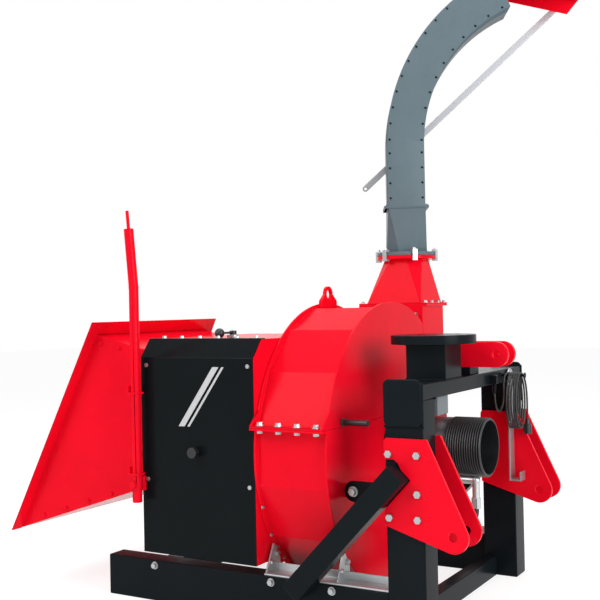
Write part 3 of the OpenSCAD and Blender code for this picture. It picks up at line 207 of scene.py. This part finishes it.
def painted(name, colour, roughness):
    """Sprayed paint: a little cloudy, with a dusty roughness and a fine orange peel."""
    finish = Finish(bpy.data.materials.new(name))
    cloud = noise(finish, scale=2.5, detail=3)
    dust = noise(finish, scale=16, detail=9)
    peel = noise(finish, scale=240, detail=2)
    tint(finish, cloud * 0.7 + dust * 0.3, shade(colour, 0.80), shade(colour, 1.20))
    roughen(finish, dust, least=roughness - 0.08, spread=0.16)
    finish.shader.inputs["Specular IOR Level"].default_value = 0.05
    relief(finish, peel, strength=0.06, depth=0.0008)
    return finish.owner


def coat(nodes, material, edge=0.0015, fold=35):
    """Gives CAD nodes a finish and the small rounding that real edges have."""
    for name in nodes:
        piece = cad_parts[name]
        piece.data.materials.clear()
        piece.data.materials.append(material)
        piece.data.shade_smooth()
        weld = piece.modifiers.new("weld", "WELD")
        weld.merge_threshold = 0.00001
        flat = piece.modifiers.new("flat", "DECIMATE")
        flat.decimate_type = "DISSOLVE"
        flat.angle_limit = math.radians(0.5)
        if edge:
            rounding = piece.modifiers.new("rounding", "BEVEL")
            rounding.width = edge
            rounding.segments = 2
            rounding.limit_method = "ANGLE"
            rounding.angle_limit = math.radians(fold)
            rounding.use_clamp_overlap = False
        piece.modifiers.new("normals", "WEIGHTED_NORMAL")


black_paint = painted("black_paint", (0.006, 0.009, 0.011), 0.24)
coat(["skid_near", "skid_far", "post_near", "post_far", "top_beam", "bottom_tube", "rear_tube",
      "brace_near", "brace_far", "joint_plates"], black_paint, edge=0.004)
coat(["pedestal", "beam_fittings"], black_paint, edge=0.002)


# Weld beads: the frame's tubes and plates meet in rippled fillet welds under the paint,
# round the pedestal's foot and head and along the joint plates at both ends of the beam.
def socket_of(tree, name):
    sockets = [s for s in tree.interface.items_tree if s.in_out == "INPUT"]
    return next(s.identifier for s in sockets if s.name == name)


def grow(tree, name, verts, edges, inputs, facing=None):
    """Runs a Geometry Nodes tree on points or lines and keeps the result as a plain mesh."""
    mesh = bpy.data.meshes.new(name)
    mesh.from_pydata([Vector(v) for v in verts], edges, [])
    if facing:
        attribute = mesh.attributes.new("facing", "FLOAT_VECTOR", "POINT")
        for item, direction in zip(attribute.data, facing):
            item.vector = direction
    piece = bpy.data.objects.new(name, mesh)
    scene.collection.objects.link(piece)
    modifier = piece.modifiers.new("grow", "NODES")
    modifier.node_group = tree
    for key, value in inputs.items():
        modifier[socket_of(tree, key)] = value
    bpy.context.view_layer.update()
    evaluated = piece.evaluated_get(bpy.context.evaluated_depsgraph_get())
    grown = bpy.data.meshes.new_from_object(evaluated)
    piece.modifiers.clear()
    piece.data = grown
    return piece


def new_tree(name, inputs):
    tree = bpy.data.node_groups.new(name, "GeometryNodeTree")
    tree.interface.new_socket("Geometry", in_out="INPUT", socket_type="NodeSocketGeometry")
    for key, kind in inputs.items():
        tree.interface.new_socket(key, in_out="INPUT", socket_type=kind)
    tree.interface.new_socket("Geometry", in_out="OUTPUT", socket_type="NodeSocketGeometry")
    start = tree.nodes.new("NodeGroupInput")
    end = tree.nodes.new("NodeGroupOutput")
    return tree, start, end


def chain(tree, *links):
    for source, target in links:
        tree.links.new(source, target)


bead_tree, bead_in, bead_out = new_tree("weld_bead", {
    "Radius": "NodeSocketFloat", "Step": "NodeSocketFloat", "Finish": "NodeSocketMaterial"})
bead_line = bead_tree.nodes.new("GeometryNodeMeshToCurve")
bead_steps = bead_tree.nodes.new("GeometryNodeResampleCurve")
bead_steps.mode = "LENGTH"
bead_drop = bead_tree.nodes.new("GeometryNodeMeshIcoSphere")
bead_drop.inputs["Subdivisions"].default_value = 2
bead_row = bead_tree.nodes.new("GeometryNodeInstanceOnPoints")
bead_real = bead_tree.nodes.new("GeometryNodeRealizeInstances")
bead_paint = bead_tree.nodes.new("GeometryNodeSetMaterial")
chain(bead_tree,
      (bead_in.outputs["Geometry"], bead_line.inputs[0]),
      (bead_line.outputs[0], bead_steps.inputs["Curve"]),
      (bead_in.outputs["Step"], bead_steps.inputs["Length"]),
      (bead_steps.outputs[0], bead_row.inputs["Points"]),
      (bead_in.outputs["Radius"], bead_drop.inputs["Radius"]),
      (bead_drop.outputs[0], bead_row.inputs["Instance"]),
      (bead_row.outputs[0], bead_real.inputs[0]),
      (bead_real.outputs[0], bead_paint.inputs["Geometry"]),
      (bead_in.outputs["Finish"], bead_paint.inputs["Material"]),
      (bead_paint.outputs[0], bead_out.inputs[0]))


def ring_of(lo, hi, z):
    return [(lo.x, lo.y, z), (hi.x, lo.y, z), (hi.x, hi.y, z), (lo.x, hi.y, z), (lo.x, lo.y, z)]


bead_r = 0.0042
bead_step = 0.75 * bead_r
stem_half = 0.070
stem_top = 0.920
beam_lo, beam_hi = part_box("top_beam")
post_lo, post_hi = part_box("post_near")
crane_lo, crane_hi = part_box("pedestal")
joint_lo, joint_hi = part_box("joint_plates")
crane_mid = (crane_lo + crane_hi) / 2
stem_corner = Vector((stem_half, stem_half, 0))
stem = (crane_mid - stem_corner, crane_mid + stem_corner)
seams = [ring_of(*stem, beam_hi.z), ring_of(*stem, stem_top)]
for side in (-1, 1):
    y = side * abs(post_lo.y)
    seams.append([(joint_lo.x, y, joint_lo.z), (joint_hi.x, y, joint_lo.z)])
    seams.append([(joint_hi.x, y, joint_lo.z), (joint_hi.x, y, beam_hi.z)])
    inner = side * abs(post_hi.y)
    seams.append([(beam_hi.x, inner, beam_lo.z), (beam_lo.x, inner, beam_lo.z)])
seam_points, seam_edges = [], []
for seam in seams:
    first = len(seam_points)
    seam_points += seam
    seam_edges += [(first + k, first + k + 1) for k in range(len(seam) - 1)]
welds = grow(bead_tree, "frame_welds", seam_points, seam_edges, {
    "Radius": bead_r, "Step": bead_step, "Finish": black_paint})
welds.data.shade_smooth()
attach(welds, "frame")


# Zinc-plated hexagon bolts and nuts, each on its washer, hold the whole machine together.
# The first of them go through the near skid and through the ends of the stays of the posts.
def plated(name, colour, roughness):
    """Plated or bare metal with a faint bloom and a fine grain."""
    finish = Finish(bpy.data.materials.new(name))
    bloom = noise(finish, scale=55, detail=5)
    grain = noise(finish, scale=700, detail=2)
    tint(finish, bloom, shade(colour, 0.90), shade(colour, 1.08))
    roughen(finish, bloom, least=roughness - 0.12, spread=0.25)
    finish.shader.inputs["Metallic"].default_value = 0.85
    relief(finish, grain, strength=0.03, depth=0.0004)
    return finish.owner


zinc = plated("zinc_plate", (0.44, 0.45, 0.46), 0.30)
head_foot, head_top, head_h = 0.577, 0.52, 0.62
washer_foot, washer_top, washer_h = 0.74, 0.72, 0.12
bolt_tree, bolt_in, bolt_out = new_tree("bolt_row", {
    "Across": "NodeSocketFloat", "Height": "NodeSocketFloat", "Finish": "NodeSocketMaterial"})
bolt_head = bolt_tree.nodes.new("GeometryNodeMeshCone")
bolt_head.inputs["Vertices"].default_value = 6
bolt_washer = bolt_tree.nodes.new("GeometryNodeMeshCone")
bolt_washer.inputs["Vertices"].default_value = 20
bolt_both = bolt_tree.nodes.new("GeometryNodeJoinGeometry")
bolt_facing = bolt_tree.nodes.new("GeometryNodeInputNamedAttribute")
bolt_facing.data_type = "FLOAT_VECTOR"
bolt_facing.inputs["Name"].default_value = "facing"
bolt_turn = bolt_tree.nodes.new("FunctionNodeAlignRotationToVector")
bolt_turn.axis = "Z"
bolt_set = bolt_tree.nodes.new("GeometryNodeInstanceOnPoints")
bolt_real = bolt_tree.nodes.new("GeometryNodeRealizeInstances")
bolt_coat = bolt_tree.nodes.new("GeometryNodeSetMaterial")


def of_flats(share):
    """A share of the bolt's width across flats."""
    node = bolt_tree.nodes.new("ShaderNodeMath")
    node.operation = "MULTIPLY"
    node.inputs[1].default_value = share
    bolt_tree.links.new(bolt_in.outputs["Across"], node.inputs[0])
    return node.outputs[0]


chain(bolt_tree,
      (of_flats(head_foot), bolt_head.inputs["Radius Bottom"]),
      (of_flats(head_top), bolt_head.inputs["Radius Top"]),
      (bolt_in.outputs["Height"], bolt_head.inputs["Depth"]),
      (of_flats(washer_foot), bolt_washer.inputs["Radius Bottom"]),
      (of_flats(washer_top), bolt_washer.inputs["Radius Top"]),
      (of_flats(washer_h), bolt_washer.inputs["Depth"]),
      (bolt_head.outputs[0], bolt_both.inputs[0]),
      (bolt_washer.outputs[0], bolt_both.inputs[0]),
      (bolt_facing.outputs[0], bolt_turn.inputs["Vector"]),
      (bolt_in.outputs["Geometry"], bolt_set.inputs["Points"]),
      (bolt_both.outputs[0], bolt_set.inputs["Instance"]),
      (bolt_turn.outputs[0], bolt_set.inputs["Rotation"]),
      (bolt_set.outputs[0], bolt_real.inputs[0]),
      (bolt_real.outputs[0], bolt_coat.inputs["Geometry"]),
      (bolt_in.outputs["Finish"], bolt_coat.inputs["Material"]),
      (bolt_coat.outputs[0], bolt_out.inputs[0]))


def bolts(name, body, places, facing, across=0.013, material=zinc):
    """A group of hexagon heads; facing is one direction for all, or one for each."""
    directions = facing if isinstance(facing, list) else [facing] * len(places)
    piece = grow(bolt_tree, name, places, [], {
        "Across": across, "Height": across * head_h, "Finish": material}, directions)
    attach(piece, body)


near = Vector((0, -1, 0))
skid_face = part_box("skid_near")[0].y
skid_bolt_x, skid_bolt_z = (-0.955, -0.459, -0.226), 0.128
bolts("skid_bolts", "frame", [(x, skid_face, skid_bolt_z) for x in skid_bolt_x], near, across=0.019)
stay_end = Vector((-0.180, -0.409, 0.441))
stay_far_end = stay_end * Vector((1, -1, 1))
bolts("stay_bolts", "frame", [stay_end, stay_far_end], [near, -near], across=0.024)
coat(["hitch_bolts", "split_bolts", "cover_screws", "hood_hinge_pin", "ring_clamps"], zinc, edge=0.0008)


# The linkage brackets: flame-cut plates in glossy red, bolted either side of the posts
# and welded on the beam, with the bores for the tractor's link pins.
red_paint = painted("red_paint", (0.76, 0.003, 0.016), 0.22)
coat(["top_link_bracket", "lower_bracket_near", "lower_bracket_far"], red_paint)


# The base angles: two galvanised steel angles on the skids, one on each side, with welded webs.
# The feet of the disc housing are bolted to the webs.
galvanised = plated("galvanised", (0.50, 0.52, 0.53), 0.45)
coat(["base_angle_near", "base_angle_far"], galvanised, edge=0.001)
forward = Vector((1, 0, 0))
web_x = (-0.486, -0.214)
web_holes = ((0.440, 0.183), (0.402, 0.205))
web_row = [(x, side * y, z) for x in web_x for side in (-1, 1) for y, z in web_holes]
bolts("web_bolts", "frame", web_row, forward, across=0.016)


# The disc housing: two flame-cut side plates with a folded wrap sheet welded between them.
# Its upper part is a hood, bolted down along a split flange and hinged beside the outlet.
coat(["housing", "hood"], red_paint, edge=0.002, fold=10)
coat(["transition"], red_paint)
coat(["lifting_eye"], red_paint, edge=0.002)
house_lo, house_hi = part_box("housing")
house_front = -0.220
axis_h = 0.550
up = Vector((0, 0, 1))
split_y, split_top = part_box("hood")[0].y + 0.018, 0.658
split_inset, split_pitch = 0.032, 0.072
split_x = [house_lo.x + split_inset + split_pitch * k for k in range(4)]
bolts("split_nuts", "hood", [(x, split_y, split_top) for x in split_x], up, across=0.019)
rim_r = 0.509
rim_face = house_lo.x + 0.008
rim_places = (200, 213, 220, 227, 234)


def on_rim(degrees):
    angle = math.radians(degrees)
    return (rim_face, rim_r * math.cos(angle), axis_h + rim_r * math.sin(angle))


bolts("rim_bolts", "frame", [on_rim(degrees) for degrees in rim_places], forward, across=0.010)
ring_lo, ring_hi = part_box("ring_clamps")
ring_mid = (ring_lo + ring_hi) / 2
clamp_r = 0.1165
clamp_first, clamp_pitch, clamp_count = 10, 60, 6
clamp_turns = [math.radians(clamp_first + clamp_pitch * k) for k in range(clamp_count)]
clamp_row = [(ring_mid.x + clamp_r * math.cos(turn), ring_mid.y + clamp_r * math.sin(turn), ring_hi.z)
             for turn in clamp_turns]
bolts("clamp_bolts", "frame", clamp_row, up, across=0.011)
plate_z = house_hi.z + 0.006
outlet_x = (house_lo.x + 0.012, house_front + 0.008)
outlet_y = (0.298, 0.359, 0.421, 0.482)
bolts("outlet_bolts", "frame", [(x, y, plate_z) for x in outlet_x for y in outlet_y], up)


# The rotor: a thick chipping disc on an overhung shaft, with bolted knives, throwing paddles,
# and the splined stub that takes the tractor's drive shaft. The feed rollers, their arm and motor
# and the speed valve are machined from the same steel.
steel = plated("machined_steel", (0.34, 0.35, 0.36), 0.34)
blade = plated("knife_steel", (0.62, 0.63, 0.64), 0.24)
coat(["rotor_shaft"], plated("dark_shaft", (0.05, 0.05, 0.055), 0.5), edge=0.001)
coat(["rotor_disc", "rotor_paddles", "lower_roller", "upper_roller", "feed_arm",
      "roller_motor", "valve"], steel, edge=0.001)
coat(["rotor_knives", "anvil"], blade, edge=0.0005)
coat(["bearing_cartridge"], black_paint)


# The drive guard: a ribbed black moulding that is clamped round the bearing cartridge
# and covers the splined stub, open to the front. Handle, knob, lever and plug are moulded too.
def rubbery(name, tone, roughness):
    """Rubber or moulded plastic: hazy, with a fine grain."""
    finish = Finish(bpy.data.materials.new(name))
    haze = noise(finish, scale=40, detail=4)
    grain = noise(finish, scale=900, detail=2)
    tint(finish, haze * 0.8, shade(tone, 0.6), shade(tone, 1.5))
    roughen(finish, haze, least=roughness - 0.1, spread=0.2)
    relief(finish, grain, strength=0.12, depth=0.0006)
    return finish.owner


plastic = rubbery("black_moulding", (0.008, 0.009, 0.011), 0.42)
guard_lo, guard_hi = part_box("drive_guard")
guard_l = guard_hi.x - guard_lo.x
rib_h = 0.005
rib_count = 15
rib_steps = 10
sleeve_l = 0.086
wall = 0.004
back_t, back_r = 0.006, 0.040
guard_sides = 96
rib_l = (guard_l - sleeve_l) / rib_count
valley_r = (guard_hi.y - guard_lo.y) / 2 - rib_h
sleeve_r = valley_r + 0.002
profile = [(0, back_r), (0, sleeve_r - 0.001), (0.001, sleeve_r), (sleeve_l - 0.008, sleeve_r)]
for k in range(rib_count * rib_steps + 1):
    swell = 0.5 - 0.5 * math.cos(2 * math.pi * k / rib_steps)
    profile.append((sleeve_l + rib_l * k / rib_steps, valley_r + rib_h * math.sqrt(swell)))
profile += [(guard_l, valley_r - wall), (back_t, valley_r - wall), (back_t, back_r)]
guard_turns = [2 * math.pi * k / guard_sides for k in range(guard_sides)]
guard_verts = [(guard_lo.x + x, r * math.cos(turn), axis_h + r * math.sin(turn))
               for x, r in profile for turn in guard_turns]
guard_faces = []
for i in range(len(profile)):
    row, next_row = i * guard_sides, (i + 1) % len(profile) * guard_sides
    for k in range(guard_sides):
        n = (k + 1) % guard_sides
        guard_faces.append((row + k, row + n, next_row + n, next_row + k))
guard_mesh = bpy.data.meshes.new("ribbed_guard")
guard_mesh.from_pydata(guard_verts, [], guard_faces)
guard_mesh.shade_smooth()
guard_mesh.set_sharp_from_angle(angle=math.radians(50))
guard_mesh.materials.append(plastic)
ribbed_guard = bpy.data.objects.new("ribbed_guard", guard_mesh)
scene.collection.objects.link(ribbed_guard)
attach(ribbed_guard, "frame")
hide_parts("drive_guard")
coat(["hood_handle", "cover_knob", "valve_lever", "cable_plug"], plastic, edge=0.002)


# The feed housing: a sheet box round the two feed rollers, red, with a satin black cover
# on its near side that is held by four screws and a knob, and two plain stripes printed on it.
def blocks(name, rings, material, body):
    """One piece of six-sided blocks, each from its lower and upper ring of four corners."""
    verts, faces = [], []
    quads = [(3, 2, 1, 0), (4, 5, 6, 7), (0, 1, 5, 4), (1, 2, 6, 5), (2, 3, 7, 6), (3, 0, 4, 7)]
    for low, high in rings:
        faces += [tuple(len(verts) + v for v in quad) for quad in quads]
        verts += low + high
    mesh = bpy.data.meshes.new(name)
    mesh.from_pydata(verts, [], faces)
    mesh.materials.append(material)
    piece = bpy.data.objects.new(name, mesh)
    scene.collection.objects.link(piece)
    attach(piece, body)
    return piece


coat(["feed_housing"], red_paint)
cover_paint = painted("cover_paint", (0.005, 0.007, 0.008), 0.20)
coat(["side_cover"], cover_paint, edge=0.002, fold=20)
stripe_paint = painted("stripe_paint", (0.50, 0.51, 0.52), 0.40)
cover_lo, cover_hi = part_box("side_cover")
stripe_lean = 0.150
stripe_film = 0.0004
stripe_foot, stripe_head = 0.640, 0.850


def stripe_ring(left, right, y):
    return [(left, y, stripe_foot), (right, y, stripe_foot),
            (right + stripe_lean, y, stripe_head), (left + stripe_lean, y, stripe_head)]


stripe_runs = ((-0.818, -0.792), (-0.780, -0.770))
stripe_back, stripe_face = cover_lo.y, cover_lo.y - stripe_film
stripe_rings = [(stripe_ring(*run, stripe_back), stripe_ring(*run, stripe_face)) for run in stripe_runs]
blocks("cover_stripes", stripe_rings, stripe_paint, "frame")
top_bolt_x = (-0.93, -0.85, -0.77, -0.69, -0.61, -0.53)
top_bolt_y = cover_hi.y - 0.012
bolts("cover_top_bolts", "frame", [(x, top_bolt_y, cover_hi.z) for x in top_bolt_x], up)


# The hopper: four flared sheets bolted edge to edge on the throat of the feed housing,
# with a flange round three sides of the mouth. The bolt heads are painted over in red.
coat(["hopper_near", "hopper_far", "hopper_top", "hopper_floor", "hopper_rim"], red_paint, edge=0)
throat_x = cover_lo.x
throat = {"near": -0.478, "far": 0.155, "low": 0.409, "high": 0.907}
flare = 0.128
floor_l, floor_end_h = 0.576, 0.220
top_l, top_end_h = 0.214, 0.965
floor_run = Vector((-floor_l, flare * floor_l, floor_end_h - throat["low"]))
top_run = Vector((-top_l, flare * top_l, top_end_h - throat["high"]))


def on_sheet(u, v, side):
    """A point on a side sheet, u from throat to mouth and v from its low edge to its high edge."""
    y = throat["near"] if side < 0 else throat["far"]
    outward = Vector((1, side, 1))
    low = Vector((throat_x, y, throat["low"])) + u * floor_run * outward
    high = Vector((throat_x, y, throat["high"])) + u * top_run * outward
    return low.lerp(high, v)


low_edge, high_edge, throat_edge = 0.035, 0.965, 0.05
for side, label in ((-1, "near"), (1, "far")):
    corner = on_sheet(0, 0, side)
    out = (on_sheet(1, 0, side) - corner).cross(on_sheet(0, 1, side) - corner)
    out = out.normalized() * (1 if out.y * side > 0 else -1)
    low_row = [on_sheet(u, low_edge, side) for u in (0.10, 0.28, 0.46, 0.64, 0.82)]
    high_row = [on_sheet(u, high_edge, side) for u in (0.15, 0.5, 0.85)]
    throat_row = [on_sheet(throat_edge, v, side) for v in (0.25, 0.5, 0.75)]
    bolts("hopper_bolts_" + label, "frame", low_row + high_row + throat_row, out,
          material=red_paint)


# The controls: a red tube lever on its bracket beside the hopper, with two angle clips on it,
# and the speed valve's lever, the control box and the oil line, a steel pipe ending in a hose.
def box_rings(lo, hi):
    corners = ((lo[0], lo[1]), (hi[0], lo[1]), (hi[0], hi[1]), (lo[0], hi[1]))
    return [[(x, y, z) for x, y in corners] for z in (lo[2], hi[2])]


coat(["lever_bracket", "control_lever"], red_paint)
lever_lo, lever_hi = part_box("control_lever")
clip_x0, clip_x1 = -1.004, -0.956
clip_y0, clip_y1 = lever_lo.y - 0.004, lever_hi.y - 0.002
clip_t, clip_rise = 0.006, 0.016
clip_rings = []
for z in (0.765, 0.476):
    clip_rings += [
        box_rings((clip_x0, clip_y0, z - 2 * clip_t), (clip_x1, clip_y1, z - clip_t)),
        box_rings((clip_x0, clip_y0, z - clip_t), (clip_x0 + clip_t, clip_y1, z + clip_rise))]
clips = blocks("lever_clips", clip_rings, red_paint, "control_lever")
hose_top = 0.345
oil_line = Finish(bpy.data.materials.new("oil_line"))
oil_place = oil_line.add("ShaderNodeTexCoord").outputs["Object"]
oil_height = oil_line.add("ShaderNodeSeparateXYZ", sockets={0: oil_place})
is_pipe = oil_line.value(oil_height, 2).above(hose_top)
tint(oil_line, is_pipe, first=(0.012, 0.012, 0.013), second=(0.50, 0.52, 0.53))
oil_line.set(oil_line.shader.inputs["Metallic"], is_pipe * 0.85)
oil_line.set(oil_line.shader.inputs["Roughness"], 0.5 - is_pipe * 0.14)
coat(["hydraulic_line"], oil_line.owner, edge=0.001)
coat(["control_box"], painted("box_grey", (0.16, 0.18, 0.19), 0.5), edge=0.004)


# The chute: a square-to-round foot on the swivel and a screwed elbow, in blue-grey,
# with a red deflector hinged on its lip and the flat bar that sets it.
chute_paint = painted("chute_paint", (0.110, 0.150, 0.170), 0.30)
coat(["chute_foot"], chute_paint)
coat(["chute_elbow"], chute_paint, edge=0)
coat(["deflector"], red_paint, edge=0.0008)
flat_bar = plated("flat_bar", (0.40, 0.41, 0.43), 0.44)
coat(["adjusting_bar"], flat_bar, edge=0.001)
chute_turn = math.radians(28)
chute_axis = Vector((-0.336, 0.39980, 0))
chute_along = Vector((math.cos(chute_turn), math.sin(chute_turn), 0))
chute_aside = Vector((-math.sin(chute_turn), math.cos(chute_turn), 0))
chute_half_w, chute_half_d = 0.074, 0.090
foot_top, bend_z, bend_r, bend_sweep = 1.4455, 1.6895, 0.745, 66
bend_x = bend_r - chute_half_w
edge_inset = 0.010
screw_start, screw_pitch = 0.035, 0.060
bend_first, bend_last = 2, bend_sweep - 3


def in_chute(s, y, z):
    return chute_axis + s * chute_along + y * chute_aside + Vector((0, 0, z))


def elbow_edge(outer):
    """Points along one edge of the elbow's side sheets, as distance along the throw and height."""
    s = (edge_inset - chute_half_w) * (1 if outer else -1)
    run = [(s, foot_top + screw_start + screw_pitch * k) for k in range(4)]
    r = bend_r - edge_inset if outer else bend_r - 2 * chute_half_w + edge_inset
    count = 13 if outer else 11
    for k in range(count):
        angle = math.radians(bend_first + (bend_last - bend_first) * k / (count - 1))
        run.append((bend_x - r * math.cos(angle), bend_z + r * math.sin(angle)))
    return run


elbow_edges = elbow_edge(True) + elbow_edge(False)
for side, label in ((-1, "near"), (1, "far")):
    row = [in_chute(s, side * chute_half_d, z) for s, z in elbow_edges]
    bolts("elbow_screws_" + label, "chute", row, side * chute_aside, across=0.006,
          material=black_paint)
joint_s, joint_y = chute_half_w + 0.008, (-0.06, 0, 0.06)
joint_z = foot_top + 0.006
joint_row = [in_chute(side * joint_s, y, joint_z) for y in joint_y for side in (-1, 1)]
bolts("joint_bolts", "chute", joint_row, up, across=0.010)


# The shaft hanger: a flat steel bar with a hook bent at its foot, which swings on a pivot
# on the top beam and holds the drive shaft up while the machine is off the tractor.
coat(["shaft_hanger"], flat_bar, edge=0.001)


# The control cable: a black sheathed lead of 7 mm that comes down out of its gland on the
# top beam, sags, and is hung up on a peg in five loops with its plug at the end.
sheath = rubbery("cable_sheath", (0.012, 0.012, 0.013), 0.5)
cable_d = 0.007
gland = Vector((0.117, 0.140, 0.747))
hank_axis = Vector((0.123, 0.290, 0.6875))
hank_half = Vector((0, 0.060, 0.1025))
hank_pitch = 0.009
loop_steps = 24
hank_loops = 5.25
tail_l = 0.072
lead_run = [  # millimetres from the gland
    (0, 0, 0), (0, 0, -20), (0, 1, -40), (0, 6, -58), (0, 16, -74), (0, 30, -86), (0, 48, -92),
    (0, 66, -88), (0, 82, -76), (0, 93, -60), (0, 98, -42), (0, 100, -22), (0, 100, -4),
    (1, 101, 12), (2, 105, 27), (4, 113, 38), (6, 126, 43), (6, 139.5, 43)]
route = [gland + Vector(p) / 1000 for p in lead_run]
for step in range(int(hank_loops * loop_steps) + 1):
    turn = 2 * math.pi * step / loop_steps
    route.append(hank_axis + Vector((
        hank_pitch * step / loop_steps, hank_half.y * math.sin(turn), hank_half.z * math.cos(turn))))
route += [route[-1] - Vector((0, 0, tail_l / 2)), route[-1] - Vector((0, 0, tail_l))]
curve = bpy.data.curves.new("control_cable", "CURVE")
curve.dimensions = "3D"
curve.bevel_depth = cable_d / 2
curve.bevel_resolution = 3
curve.use_fill_caps = True
strand = curve.splines.new("POLY")
strand.points.add(len(route) - 1)
for point, place in zip(strand.points, route):
    point.co = (*place, 1)
cable = bpy.data.objects.new("control_cable", curve)
scene.collection.objects.link(cable)
curve.materials.append(sheath)
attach(cable, "frame")
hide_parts("cable_lead", "cable_hank")
